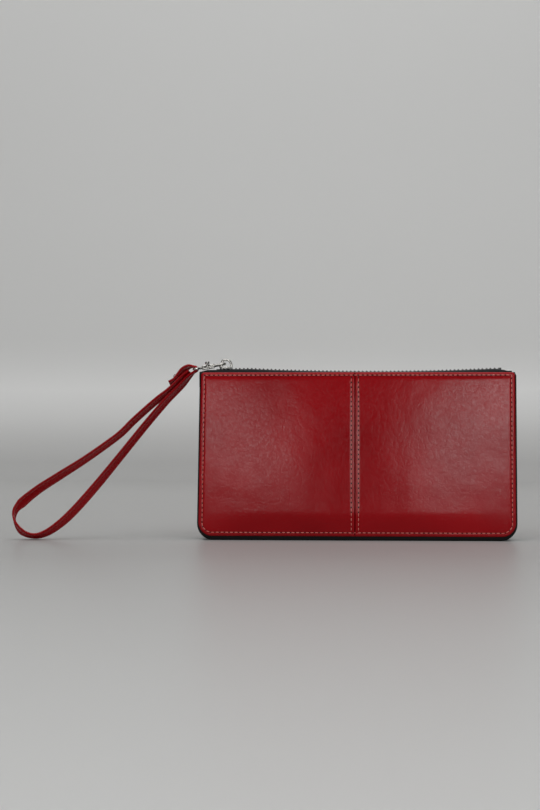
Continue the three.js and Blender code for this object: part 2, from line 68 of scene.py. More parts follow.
def span(node):
    """Lowest and highest corner of a CAD node, in millimetres."""
    return np.array(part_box(node)) / MM


# %% [markdown]
# ## Turning arrays into pieces
# A surface is a grid of points: row i, column j. Joining each point to its neighbours gives the faces. A
# closed shape made from several grids has doubled points where they meet. Those are merged first, and then
# the faces are turned outwards, so that thickness, bevels and shading all agree.


# %% Grids and pieces
def grid_faces(rows, cols, first=0, loop_rows=False, loop_cols=False):
    """Faces between neighbours of a rows by cols grid whose first point has the given number."""
    i = np.arange(rows if loop_rows else rows - 1)[:, None]
    j = np.arange(cols if loop_cols else cols - 1)[None, :]
    at = lambda a, b: first + (a % rows) * cols + (b % cols)
    return np.stack([at(i, j), at(i + 1, j), at(i + 1, j + 1), at(i, j + 1)], -1).reshape(-1, 4).tolist()


def make_piece(name, points, faces, body, uv=None, closed=True, smooth_angle=40):
    """A mesh from points in millimetres. uv holds one pair for each point, in millimetres too."""
    mesh = bpy.data.meshes.new(name)
    mesh.from_pydata((np.asarray(points, float).reshape(-1, 3) * MM).tolist(), [], faces)
    if uv is not None:
        layer = mesh.uv_layers.new(name="flat")
        corner = np.empty(len(mesh.loops), int)
        mesh.loops.foreach_get("vertex_index", corner)
        layer.data.foreach_set("uv", (np.asarray(uv, float).reshape(-1, 2) * MM)[corner].ravel())
    if closed:
        work = bmesh.new()
        work.from_mesh(mesh)
        bmesh.ops.remove_doubles(work, verts=work.verts, dist=1e-7)
        bmesh.ops.dissolve_degenerate(work, edges=work.edges, dist=1e-7)
        bmesh.ops.recalc_face_normals(work, faces=work.faces)
        work.to_mesh(mesh)
        work.free()
    mesh.shade_smooth()
    mesh.set_sharp_from_angle(angle=math.radians(smooth_angle))
    piece = bpy.data.objects.new(name, mesh)
    bpy.context.scene.collection.objects.link(piece)
    if body:
        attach(piece, body)
    return piece


def sweep(path, side, up, section):
    """Carries a closed section along a path. Each point is the path's point plus the section's first number
    times the side direction plus its second times the up direction. section may be one outline or one for
    each step."""
    section = np.broadcast_to(section, (len(path), *np.shape(section)[-2:]))
    return path[:, None] + section[..., :1] * side[:, None] + section[..., 1:] * up[:, None]


def swept_faces(steps, around, first=0, loop=False):
    """Faces of a sweep: its sides, and a flat cap at each end unless the path closes on itself."""
    faces = grid_faces(steps, around, first, loop_rows=loop, loop_cols=True)
    if not loop:
        faces.append(list(range(first, first + around)))
        faces.append(list(range(first + (steps - 1) * around, first + steps * around)))
    return faces


def ellipse(half_wide, half_high, count=12, power=1.0):
    """A closed outline: cosine and sine, each raised to a power under 1 for squarer corners."""
    t = np.linspace(0, 2 * np.pi, count, endpoint=False)
    squared = lambda v: np.sign(v) * np.abs(v) ** power
    return np.stack([half_wide * squared(np.cos(t)), half_high * squared(np.sin(t))], -1)


def unit(v):
    """Vectors divided by their own length."""
    return v / np.linalg.norm(v, axis=-1, keepdims=True)


def merged(parts):
    """Stacks (points, faces) parts into one, renumbering each part's faces."""
    points, faces, start = [], [], 0
    for p, f in parts:
        p = np.reshape(p, (-1, 3))
        points.append(p)
        faces += [[n + start for n in face] for face in f]
        start += len(p)
    return np.concatenate(points), faces


def smooth_step(v):
    """Three times the square of v less twice its cube: level at 0 and at 1."""
    v = np.clip(v, 0, 1)
    return v * v * (3 - 2 * v)


# %% [markdown]
# ## Finishes
# Each finish is a short chain of nodes. A pattern that belongs to a flat panel reads the object's own
# coordinates, in metres, and one that follows a strip reads its UV map. A small builder keeps them short:
# it adds a node, sets its numbers and joins its inputs in one line.


# %% A small builder for node chains
class Finish:
    """One material. add() makes a node; an input given a node's output is linked, anything else is set. An
    input is named, or is _ and its number where the node has two inputs of one name."""

    def __init__(self, name, **shader):
        self.material = bpy.data.materials.new(name)
        self.material.use_nodes = True
        self.tree = self.material.node_tree
        self.tree.nodes.clear()
        out = self.tree.nodes.new("ShaderNodeOutputMaterial")
        self.shader = self.add("ShaderNodeBsdfPrincipled", **shader)
        self.tree.links.new(self.shader.outputs[0], out.inputs[0])
        self.place = self.add("ShaderNodeTexCoord")

    def add(self, kind, settings=None, **inputs):
        node = self.tree.nodes.new(kind)
        for key, value in (settings or {}).items():
            setattr(node, key, value)
        for key, value in inputs.items():
            label = key.replace("_", " ")
            socket = node.inputs[label] if label in node.inputs else node.inputs[int(key[1:])]
            if isinstance(value, bpy.types.NodeSocket):
                self.tree.links.new(value, socket)
            else:
                socket.default_value = value
        return node

    def noise(self, where, scale, detail=3.0, roughness=0.5, stretch=(1, 1, 1)):
        """Noise in its own stretch of the coordinates; a small stretch makes long features."""
        mapped = self.add("ShaderNodeMapping", Vector=where, Scale=stretch).outputs[0]
        settings = {"Scale": scale, "Detail": detail, "Roughness": roughness}
        return self.add("ShaderNodeTexNoise", Vector=mapped, **settings).outputs[0]

    def range(self, value, low, high, start=0.0, end=1.0):
        """Carries start to end of a value onto low to high."""
        node = self.add("ShaderNodeMapRange", Value=value)
        for number, level in zip((1, 2, 3, 4), (start, end, low, high)):
            node.inputs[number].default_value = level
        return node.outputs[0]

    def tint(self, value, low, high):
        """Mixes two colours by a value from 0 to 1."""
        node = self.add("ShaderNodeMix", {"data_type": "RGBA"})
        self.tree.links.new(value, node.inputs[0])
        node.inputs[6].default_value = (*low, 1)
        node.inputs[7].default_value = (*high, 1)
        return node.outputs[2]

    def maths(self, operation, a, b):
        """One operation on two inputs."""
        return self.add("ShaderNodeMath", {"operation": operation}, _0=a, _1=b).outputs[0]

    def bump(self, height, depth_mm, below=None):
        """A bump whose full height is depth_mm. below is the bump that it lies on."""
        node = self.add("ShaderNodeBump", Height=height, Strength=1.0, Distance=depth_mm * MM)
        if below is not None:
            self.tree.links.new(below, node.inputs["Normal"])
        return node.outputs[0]

    def to(self, **inputs):
        """Links the patterns to the shader's inputs and gives the material."""
        for key, value in inputs.items():
            self.tree.links.new(value, self.shader.inputs[key.replace("_", " ")])
        return self.material


def principled(colour, roughness, metallic=0.0, specular=0.5, coat=0.0, coat_roughness=0.1):
    """The shader's own constant values, set on its sockets."""
    return {"Base_Color": (*colour, 1), "Roughness": roughness, "Metallic": metallic,
            "Specular_IOR_Level": specular, "Coat_Weight": coat, "Coat_Roughness": coat_roughness}


# %% [markdown]
# ### Oil-wax leather
# The wallet is split leather with a pulled-up, waxed top coat. Close to, it has three things: soft cloudy
# colour, long shallow creases from handling, and a very fine pore. The creases are noise bent by noise, so
# that they wander, and the wax is a coat layer over a slightly rougher leather.


# %% Leather
def waxed_leather(name, crease_scale, crease_depth, pore_depth, drape, roughness):
    """drape is the height of the broad folds, in millimetres, and the two depths are those of the creases
    and pores. Creases are the edges of cells whose coordinates are pushed about by a coarser noise."""
    shine = principled((0.3, 0.004, 0.007), roughness, specular=0.14, coat=0.04, coat_roughness=0.16)
    f = Finish(name, **shine)
    here = f.place.outputs["Object"]
    cloud = f.noise(here, 22, 4)
    push = f.add("ShaderNodeTexNoise", Vector=here, Scale=crease_scale * 0.6, Detail=2.0).outputs[1]
    wander = f.add("ShaderNodeVectorMath", {"operation": "MULTIPLY_ADD"}, _0=push, _1=(0.012,) * 3, _2=here)
    cells = f.add("ShaderNodeTexVoronoi", {"feature": "DISTANCE_TO_EDGE"}, Vector=wander.outputs[0],
                  Scale=crease_scale)
    crease = f.range(cells.outputs[0], 0, 1, 0, 0.16)
    wrinkle = f.noise(here, crease_scale * 3.6, 4, 0.6, (1, 1, 0.7))
    pore = f.add("ShaderNodeTexVoronoi", Vector=here, Scale=1500.0).outputs[0]
    lie = f.bump(f.noise(here, 26, 2), drape)
    lie = f.bump(crease, crease_depth, lie)
    lie = f.bump(wrinkle, crease_depth * 1.6, lie)
    lie = f.bump(pore, pore_depth, lie)
    base = f.tint(f.range(cloud, 0, 1, 0.3, 0.7), (0.29, 0.002, 0.005), (0.38, 0.004, 0.008))
    rough = f.range(wrinkle, roughness - 0.05, roughness + 0.1, 0.3, 0.7)
    return f.to(Base_Color=base, Roughness=rough, Normal=lie)


face_leather = waxed_leather("oil_wax_leather", 190, 0.012, 0.004, 0.5, 0.15)
strap_leather = waxed_leather("strap_leather", 210, 0.014, 0.006, 0.1, 0.26)
print("leathers:", face_leather.name, strap_leather.name)


# %% [markdown]
# ### Black edges, cloth, thread, plastic and plate
# The painted board edge is a thick glossy paint with brush ripples. The zip's tape is a twill: two waves,
# one along and one across the strip, make its raised diagonal floats. The lining is a plain weave. The
# thread's ply is a fine diagonal wave. The plate is nickel: almost mirror smooth, with faint polishing
# marks that only show in its roughness.


# %% Other finishes
def painted_edge():
    """One fine noise is the brush ripple and its change of shine; a coarser one shifts the black."""
    f = Finish("black_edge", **principled((0.005, 0.005, 0.005), 0.5, specular=0.15))
    here = f.place.outputs["Object"]
    ripple = f.noise(here, 300, 4, 0.6)
    shade = f.tint(f.noise(here, 60), (0.003, 0.003, 0.003), (0.008, 0.007, 0.007))
    return f.to(Base_Color=shade, Roughness=f.range(ripple, 0.4, 0.6), Normal=f.bump(ripple, 0.05))


def woven(name, dark, light, thread_mm, on_uv=True, twill=True):
    """Warp and weft are two waves; where one is high its thread is on top."""
    f = Finish(name, **principled(dark, 0.8, specular=0.25))
    here = f.place.outputs["UV" if on_uv else "Object"]
    parts = f.add("ShaderNodeSeparateXYZ", Vector=here).outputs
    along, across = (parts[0], parts[1]) if on_uv else (parts[0], parts[2])
    turn = 2 * math.pi / (thread_mm * MM)
    warp = f.maths("SINE", f.maths("MULTIPLY", f.maths("ADD", along, across) if twill else along, turn), 0.0)
    weft = f.maths("SINE", f.maths("MULTIPLY", across, turn * (2 if twill else 1)), 0.0)
    weave = f.range(f.maths("MULTIPLY", warp, weft), 0, 1, -1, 1)
    fuzz = f.noise(here, 900 / thread_mm, 2)
    shade = f.tint(f.maths("MULTIPLY", weave, f.range(fuzz, 0.5, 1.2)), dark, light)
    return f.to(Base_Color=shade, Roughness=f.range(fuzz, 0.7, 0.9), Normal=f.bump(weave, thread_mm * 0.18))


def spun_thread(name, dark, light):
    """A diagonal wave is the ply, and its product with a noise is the change of colour."""
    f = Finish(name, **principled(dark, 0.55, specular=0.3))
    here = f.place.outputs["Object"]
    ply = f.add("ShaderNodeTexWave", {"bands_direction": "DIAGONAL"}, Vector=here, Scale=900.0,
                Distortion=1.0).outputs[1]
    shade = f.tint(f.maths("MULTIPLY", ply, f.noise(here, 120)), dark, light)
    return f.to(Base_Color=shade, Roughness=f.range(ply, 0.45, 0.7), Normal=f.bump(ply, 0.04))


def moulded_plastic():
    """One fine noise gives the colour, the shine and the small unevenness."""
    f = Finish("zip_teeth", **principled((0.006, 0.006, 0.007), 0.3))
    here = f.place.outputs["Object"]
    mottle = f.noise(here, 700, 2)
    shade = f.tint(mottle, (0.004, 0.004, 0.005), (0.014, 0.014, 0.015))
    return f.to(Base_Color=shade, Roughness=f.range(mottle, 0.22, 0.42), Normal=f.bump(mottle, 0.02))


def nickel_plate():
    """A noise that is long in Z rubs the shine, and a coarser one clouds colour and surface."""
    f = Finish("plated_metal", **principled((0.5, 0.49, 0.46), 0.14, metallic=1.0))
    here = f.place.outputs["Object"]
    rub = f.noise(here, 900, 3, 0.6, (1, 1, 0.12))
    cloud = f.noise(here, 260, 3)
    shade = f.tint(cloud, (0.34, 0.335, 0.31), (0.66, 0.65, 0.62))
    return f.to(Base_Color=shade, Roughness=f.range(rub, 0.14, 0.32, 0.3, 0.7), Normal=f.bump(cloud, 0.012))


edge_paint = painted_edge()
zip_tape_cloth = woven("zip_tape", (0.004, 0.004, 0.005), (0.02, 0.02, 0.022), 0.7)
tab_cloth = woven("zip_tab_tape", (0.004, 0.004, 0.005), (0.02, 0.02, 0.022), 0.7, on_uv=False)
lining_cloth = woven("lining", (0.018, 0.01, 0.01), (0.06, 0.035, 0.033), 0.6, on_uv=False, twill=False)
border_thread = spun_thread("border_thread", (0.6, 0.12, 0.1), (0.95, 0.5, 0.42))
# Painted shade: the flat dark discs at the stitch ends stand in for the shadow inside each needle hole.
hole_shade_paint = spun_thread("hole_shade_paint", (0.02, 0.001, 0.001), (0.05, 0.002, 0.002))
strap_thread = spun_thread("strap_thread", (0.2, 0.02, 0.022), (0.5, 0.14, 0.12))
teeth_plastic = moulded_plastic()
nickel = nickel_plate()
print("finishes:", len(bpy.data.materials))


# %% Give the plain inside nodes their finishes
def dress(material, *nodes):
    """Gives plain nodes one finish in the place of their own."""
    for node in nodes:
        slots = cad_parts[node].data.materials
        slots.clear()
        slots.append(material)


dress(lining_cloth, "front_lining", "rear_lining", "card_leaf_1", "card_leaf_2", "card_leaf_3")
dress(lining_cloth, "coin_wall_front", "coin_wall_rear", "coin_binding_left", "coin_binding_right",
      "coin_binding_bottom")
dress(tab_cloth, "zip_tab_left", "zip_tab_right", "coin_tape_front", "coin_tape_rear")
dress(teeth_plastic, "coin_teeth_front", "coin_teeth_rear", "zip_end_stop")
dress(nickel, "coin_end_stop", "coin_slider", "coin_pull")

# %% [markdown]
# ## The two leather faces
# A face is two pieces of leather sewn together down the middle and glued and stitched to a board. The
# leather is pulled over a thin layer of wadding, so it rises a little inside its border stitching, bellies
# low down where the wallet's contents settle, and rolls back to the board at its edges. A grid whose rows
# shrink into the round corners carries that as a height over the board. A cloth simulation would also puff
# it up, but here the exact shape of the border, groove and belly matters, so it is written down as a sum.

# %% Sizes of a face
BASE_Z, TOP_Z = span("front_leather_left")[0][2], span("front_leather_left")[1][2]
LEFT_X, SEAM_LEFT = span("front_leather_left")[0][0], span("front_leather_left")[1][0]
SEAM_RIGHT, RIGHT_X = span("front_leather_right")[0][0], span("front_leather_right")[1][0]
LEATHER_IN = -span("front_leather_left")[1][1]  # back of the leather, from the middle plane
LEATHER = -span("front_leather_left")[0][1] - LEATHER_IN
CORNER = 10.5  # bottom corners of the board
LEATHER_CORNER = 8.75  # and of the leather
STITCH_IN = 2.4  # border stitching, in from the leather's edge
TOP_STITCH = 1.8  # and below its top edge
SEAM_STITCH = 2.1  # topstitching, either side of the seam
PITCH = 2.96  # stitch to stitch


def pinch(points):
    """The wallet's sides draw in a little towards the zip: x moves in by up to 2 mm at the top left and 0.9
    mm at the top right, in proportion to height and to distance from the middle."""
    x, z = points[..., 0], points[..., 2]
    share = np.clip(z / TOP_Z, 0, 1)
    points = points.copy()
    points[..., 0] = x + share * np.where(x < 0, -2.0, -0.9) * x / 100
    return points


def edge_distance(x, z, left, right, low, high, radius):
    """Distance in from a panel's outline, whose two bottom corners have a radius and top corners 2 mm."""
    cx, cz = (left + right) / 2, (low + high) / 2
    r = np.where(z < cz, radius, 2.0)
    qx = np.abs(x - cx) - (right - left) / 2 + r
    qz = np.abs(z - cz) - (high - low) / 2 + r
    outside = np.hypot(np.maximum(qx, 0), np.maximum(qz, 0))
    return r - outside - np.minimum(np.maximum(qx, qz), 0)


def leather_height(x, z):
    """Height of the leather over its back: a rolled edge, the two kinds of stitch groove, the wadding's rise
    inside the border, the seam's narrow valley, and a belly that is fullest low down and dies out, as one
    less the square of x, towards the sides."""
    d = edge_distance(x, z, LEFT_X, RIGHT_X, BASE_Z, TOP_Z, LEATHER_CORNER)
    s = np.minimum(np.abs(x - SEAM_LEFT), np.abs(x - SEAM_RIGHT)) * np.where(
        (x > SEAM_LEFT) & (x < SEAM_RIGHT), 0, 1)
    roll = np.sqrt(1 - (1 - np.clip(d / 1.3, 0, 1)) ** 2)
    fold = np.sqrt(1 - (1 - np.clip(s / 0.6, 0, 1)) ** 2)
    height = LEATHER * roll * (0.6 + 0.4 * fold)
    height -= 0.2 * np.exp(-(((d - STITCH_IN) / 0.5) ** 2))
    height -= 0.1 * np.exp(-(((s - SEAM_STITCH) / 0.5) ** 2))
    up = np.clip((z - BASE_Z) / (TOP_Z - BASE_Z), 0, 1)
    belly = 2.6 * (1 - up) * smooth_step(up / 0.15)
    wadding = 0.08 * smooth_step((d - STITCH_IN) / 2.5)
    return height + wadding + (belly + 0.5 * smooth_step(up / 0.1)) * (1 - (x / 100) ** 2)


# %% Build the leather
def fine_ends(length, step=1.15, fine=0.32, reach=4.5):
    """Numbers from 0 to 1 for a length in millimetres: fine steps near both ends, coarser between."""
    near = np.arange(0, reach, fine)
    middle = np.linspace(reach, length - reach, max(2, int((length - 2 * reach) / step)))
    return np.concatenate([near, middle, length - near[::-1]]) / length


def leather_half(left, right, corner_on_left):
    """Front and back grids of one half. In the round corner each row starts where the arc is: radius less
    the root of radius squared less height-from-centre squared."""
    radius, top_radius = LEATHER_CORNER, 2.0
    v = fine_ends(TOP_Z - BASE_Z)
    corner_rows = 1 - np.cos(np.linspace(0, np.pi / 2, 14))
    v = np.unique(np.concatenate([v, corner_rows * radius / (TOP_Z - BASE_Z),
                                  1 - corner_rows * top_radius / (TOP_Z - BASE_Z)]).round(5))
    z = BASE_Z + v * (TOP_Z - BASE_Z)
    low = np.clip(radius - (z - BASE_Z), 0, radius)
    high = np.clip(top_radius - (TOP_Z - z), 0, top_radius)
    inset = radius - np.sqrt(radius**2 - low**2) + top_radius - np.sqrt(top_radius**2 - high**2)
    start, end = (left + inset, right + 0 * z) if corner_on_left else (left + 0 * z, right - inset)
    u = fine_ends(right - left)
    x = start[:, None] + u[None] * (end - start)[:, None]
    zz = np.broadcast_to(z[:, None], x.shape)
    height = leather_height(x, zz)
    edge = (u[None] == (0 if corner_on_left else 1)) | (v[:, None] == 0) | (v[:, None] == 1)
    height = np.where(edge, 0, height)
    return x, zz, height


def leather_piece(name, left, right, corner_on_left, side, node):
    """A front at the leather's height, a flat back, and a wall between them along the seam. At the other
    edges the height is 0, so front and back meet."""
    x, z, height = leather_half(left, right, corner_on_left)
    rows, cols = x.shape
    front = np.stack([x, side * (LEATHER_IN + height), z], -1)
    back = np.stack([x, np.full_like(x, side * LEATHER_IN), z], -1)
    parts = [(front, grid_faces(rows, cols)), (back, grid_faces(rows, cols))]
    seam = -1 if corner_on_left else 0
    wall = np.stack([front[:, seam], back[:, seam]], 1)
    parts.append((wall, grid_faces(rows, 2)))
    points, faces = merged(parts)
    piece = make_piece(name, pinch(points), faces, "shell")
    piece.data.materials.append(face_leather)
    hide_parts(node)
    return piece


for side, face in ((-1, "front"), (1, "rear")):
    leather_piece(f"{face}_face_left", LEFT_X, SEAM_LEFT, True, side, f"{face}_leather_left")
    piece = leather_piece(f"{face}_face_right", SEAM_RIGHT, RIGHT_X, False, side, f"{face}_leather_right")
print("one half of a face:", len(piece.data.polygons), "faces")

# %% [markdown]
# ## Stitches
# A lockstitch shows as a short thread that dips into a hole at each end. One stitch is a thin ellipse
# carried along a shallow arch. All stitches of a run go into one mesh: the same arch is placed along the
# run as one array operation, and lies at the leather's own height there.


# %% Rows of stitches
def stitch_mesh(middle, along, out, length=2.2, wide=0.56, high=0.46, rise=0.14):
    """Every stitch: its middle, the direction of the run and the direction out of the leather, as arrays of
    points. Five stations along an arch, six points round each, narrowing to the ends."""
    t = np.linspace(-1, 1, 5)
    fat = np.sqrt(1 - (t * 0.93) ** 2)
    ring = ellipse(1, 1, 6)
    across = unit(np.cross(out, along))
    path = middle[:, None] + along[:, None] * (t * length / 2)[None, :, None]
    path = path + out[:, None] * (rise * 2 * (1 - t**2) - rise)[None, :, None]
    offset = (ring[None, :, 0:1] * wide / 2)[None] * across[:, None, None] + (
        ring[None, :, 1:] * high / 2)[None] * out[:, None, None]
    points = path[:, :, None] + offset * fat[None, :, None, None]
    one = swept_faces(5, 6)
    return [(p, one) for p in points]


def evenly(points, pitch):
    """Points a pitch apart along a polyline, with the line's direction there."""
    step = np.diff(points, axis=0)
    run = np.concatenate([[0], np.cumsum(np.linalg.norm(step, axis=1))])
    count = max(1, int(round(run[-1] / pitch)))
    at = (np.arange(count) + 0.5) * run[-1] / count
    place = np.stack([np.interp(at, run, points[:, k]) for k in range(points.shape[1])], -1)
    ahead = np.stack([np.interp(at + 0.2, run, points[:, k]) for k in range(points.shape[1])], -1)
    behind = np.stack([np.interp(at - 0.2, run, points[:, k]) for k in range(points.shape[1])], -1)
    return place, unit(ahead - behind)


def border_line():
    """The border's run, from the top left down, along the bottom and up to the top right, then back."""
    left, right, low, high = LEFT_X + STITCH_IN, RIGHT_X - STITCH_IN, BASE_Z + STITCH_IN, TOP_Z - TOP_STITCH
    r = LEATHER_CORNER - STITCH_IN
    a = np.linspace(0, np.pi / 2, 12)
    bottom_left = np.stack([left + r - r * np.cos(a), low + r - r * np.sin(a)], -1)
    bottom_right = np.stack([right - r + r * np.sin(a), low + r - r * np.cos(a)], -1)
    return np.concatenate([[[left, high]], bottom_left, bottom_right, [[right, high], [left, high]]])


def sew_face(side, face):
    """Stitches one pitch apart along the border and beside the seam, each with a dark disc at its end that is
    painted shade for its needle hole.
    """
    runs = [border_line()]
    for x in (SEAM_LEFT - SEAM_STITCH, SEAM_RIGHT + SEAM_STITCH):
        runs.append(np.array([[x, BASE_Z + STITCH_IN + 1], [x, TOP_Z - STITCH_IN - 1]]))
    threads, hole_shades = [], []
    for run in runs:
        spot, way = evenly(run, PITCH)
        out = LEATHER_IN + leather_height(spot[:, 0], spot[:, 1]) + 0.1
        middle = np.stack([spot[:, 0], side * out, spot[:, 1]], -1)
        along = np.stack([way[:, 0], 0 * way[:, 0], way[:, 1]], -1)
        outward = np.tile([0.0, side, 0.0], (len(spot), 1))
        threads += stitch_mesh(middle, along, outward)
        # A flat dark disc, sunk just under the stitch's end, is painted shade where the thread dips into its
        # hole.
        ends = middle + along * PITCH / 2 - outward * 0.08
        hole_shades += stitch_mesh(ends, along, outward, length=1.0, wide=1.0, high=0.2, rise=0.0)
    for name, parts, finish in (("stitching", threads, border_thread), ("painted_hole_shades", hole_shades, hole_shade_paint)):
        points, faces = merged(parts)
        piece = make_piece(f"{face}_{name}", pinch(points), faces, "shell", smooth_angle=180)
        piece.data.materials.append(finish)
    return len(threads)


print("stitches on each face:", [sew_face(side, face) for side, face in ((-1, "front"), (1, "rear"))])

# %% [markdown]
# ## Boards and gussets
# Behind each leather face is a board whose edge is painted black, and the paint builds up into a soft
# round rim that shows past the leather. Between the boards runs one long gusset. At the sides it folds
# inwards, so that the wallet can open, and the fold dies away round the corners to the flat base.


# %% A plate with a round edge
def panel_outline(left, right, low, high, low_radius, high_radius, steps=9):
    """A panel's outline as points: four quarter arcs, whose ends the straight runs join."""
    arcs = [(right, -1, low, 1, low_radius, -90), (right, -1, high, -1, high_radius, 0),
            (left, 1, high, -1, high_radius, 90), (left, 1, low, 1, low_radius, 180)]
    points = []
    for x, in_x, z, in_z, r, begin in arcs:
        a = np.radians(begin + np.linspace(0, 90, steps))
        points.append(np.stack([x + in_x * r + r * np.cos(a), z + in_z * r + r * np.sin(a)], -1))
    return np.concatenate(points)


def inward(outline):
    """Unit normals of a counter-clockwise outline, pointing in: the run's direction turned a quarter left."""
    run = np.roll(outline, -1, 0) - np.roll(outline, 1, 0)
    return unit(np.stack([-run[:, 1], run[:, 0]], -1))


def round_plate(outline, low, high, edge):
    """Rings up the plate's edge: each is the outline moved in by edge times one less cosine, at a height that
    follows the sine, and a flat cap closes each side."""
    a = np.linspace(-np.pi / 2, np.pi / 2, 9)
    middle, half = (low + high) / 2, (high - low) / 2
    inset = edge * (1 - np.cos(a))
    rise = middle + half * np.sin(a)
    ring = outline[None] + inward(outline)[None] * inset[:, None, None]
    points = np.concatenate([ring, np.broadcast_to(rise[:, None, None], (*ring.shape[:2], 1))], -1)
    return points, swept_faces(len(a), len(outline))


board_low, board_high = span("front_board")
for side, face in ((-1, "front"), (1, "rear")):
    outline = panel_outline(board_low[0], board_high[0], board_low[2], board_high[2], CORNER, 2.0)
    inner, outer = -board_high[1], -board_low[1] + 0.25
    rings, faces = round_plate(outline, inner, outer, 0.55)
    points = np.stack([rings[..., 0], side * rings[..., 2], rings[..., 1]], -1)
    board = make_piece(f"{face}_painted_board", pinch(points), faces, "shell")
    board.data.materials.append(edge_paint)
    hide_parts(f"{face}_board")

# %% The long gusset
GUSSET_HALF = span("gusset_left")[1][1]
GUSSET_TOP = span("gusset_left")[1][2]


def gusset_piece():
    """A strip across y, carried down the left side, round the corner, along the base and up the right side.
    Its fold is a smooth valley, deepest at mid height of the sides: cosine squared across the strip."""
    reach = board_high[0]
    r = CORNER
    a = np.linspace(0, np.pi / 2, 14)[1:-1]
    up = np.linspace(GUSSET_TOP, r, 40)
    left = np.stack([np.full(40, -reach), up], -1)
    turn = np.stack([-reach + r - r * np.cos(a), r - r * np.sin(a)], -1)
    base = np.stack([np.linspace(-reach + r, reach - r, 60), np.zeros(60)], -1)
    run = np.concatenate([left, turn, base])
    run = np.concatenate([run, (run[: len(left) + len(turn)] * [-1, 1])[::-1]])
    into = unit(np.stack([np.gradient(run[:, 1]), -np.gradient(run[:, 0])], -1)) * -1
    height = run[:, 1]
    fold = 4.2 * smooth_step((height - 2) / 30) * np.where(np.abs(run[:, 0]) > reach - r - 0.01, 1, 0)
    y = np.linspace(-1, 1, 25)
    valley = np.cos(y * np.pi / 2) ** 2 + 0.06 * np.cos(y * np.pi * 4)
    depth = 0.45 + fold[:, None] * valley[None]
    skin = lambda extra: np.stack([
        run[:, None, 0] + into[:, None, 0] * (depth + extra),
        np.broadcast_to(y * GUSSET_HALF, depth.shape),
        run[:, None, 1] + into[:, None, 1] * (depth + extra)], -1)
    outer, inner = skin(0.0), skin(0.75)
    rows, cols = outer.shape[:2]
    ring = np.concatenate([outer, inner[:, ::-1]], 1)
    piece = make_piece("folded_gusset", pinch(ring), swept_faces(rows, 2 * cols), "shell")
    piece.data.materials.append(edge_paint)
    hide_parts("gusset_left", "gusset_right", "gusset_bottom")
    return piece


gusset = gusset_piece()
print("gusset faces:", len(gusset.data.polygons))

# %% [markdown]
# ## The zip
# The closed zip sags a little between its ends, because the tape is sewn to a soft top edge. Each tooth is a
# moulded plastic block with a round head that locks between two teeth of the other row. A tooth is a squared
# ellipse carried across the tape, and one row is that tooth repeated every pitch along the sagging line. The
# tape is a woven strip: level beside the teeth, then turned down inside the face.

# %% Sag, tape and teeth
tooth_low, tooth_high = span("front_teeth")
CHAIN_Z = (tooth_low[2] + tooth_high[2]) / 2
TOOTH_HALF = (tooth_high[2] - tooth_low[2]) / 2
CHAIN_HALF = -tooth_low[1]
ZIP_PITCH = 5.0  # tooth to tooth in one row; the rows alternate
SAG_MIDDLE, SAG_SPAN = 10.0, 76.0


def sag(x):
    """How far the chain hangs below its straight line: a parabola that is level with it at both ends."""
    return -1.75 * np.clip(1 - ((x - SAG_MIDDLE) / SAG_SPAN) ** 2, 0, 1)


def tooth_row(side, face):
    """A tooth is five sections from the tape to its tip, copied along the sagging line, with a cord through
    the backs of them all."""
    start = tooth_low[0] + 5.0 + (ZIP_PITCH / 2 if side > 0 else 0)
    x = np.arange(start, tooth_high[0] - 0.6, ZIP_PITCH)
    across = np.array([CHAIN_HALF, CHAIN_HALF * 0.6, 0.6, -0.2, -0.8])
    wide = np.array([0.55, 0.66, 0.5, 0.7, 0.4])
    tall = np.array([0.95, 1.06, 0.95, 1.0, 0.6]) * TOOTH_HALF
    ring = ellipse(1, 1, 12, 0.9)
    shape = np.stack([ring[None, :, 0] * wide[:, None], np.repeat(across[:, None], 12, 1),
                      ring[None, :, 1] * tall[:, None]], -1)
    shape[..., 1] *= side
    spot = np.stack([x, 0 * x, CHAIN_Z + sag(x)], -1)
    one = swept_faces(5, 12)
    parts = [(shape + p, one) for p in spot]
    line = np.linspace(tooth_low[0] + 0.3, tooth_high[0], 90)
    path = np.stack([line, np.full(90, side * (CHAIN_HALF - 0.3)), CHAIN_Z + sag(line)], -1)
    cord = sweep(path, np.tile([0.0, 1, 0], (90, 1)), np.tile([0.0, 0, 1], (90, 1)), ellipse(0.42, 0.45, 8))
    parts.append((cord, swept_faces(90, 8)))
    points, faces = merged(parts)
    piece = make_piece(f"{face}_tooth_row", points, faces, f"{face}_row")
    piece.data.materials.append(teeth_plastic)
    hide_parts(f"{face}_teeth")
    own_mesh(piece)
    return len(x)


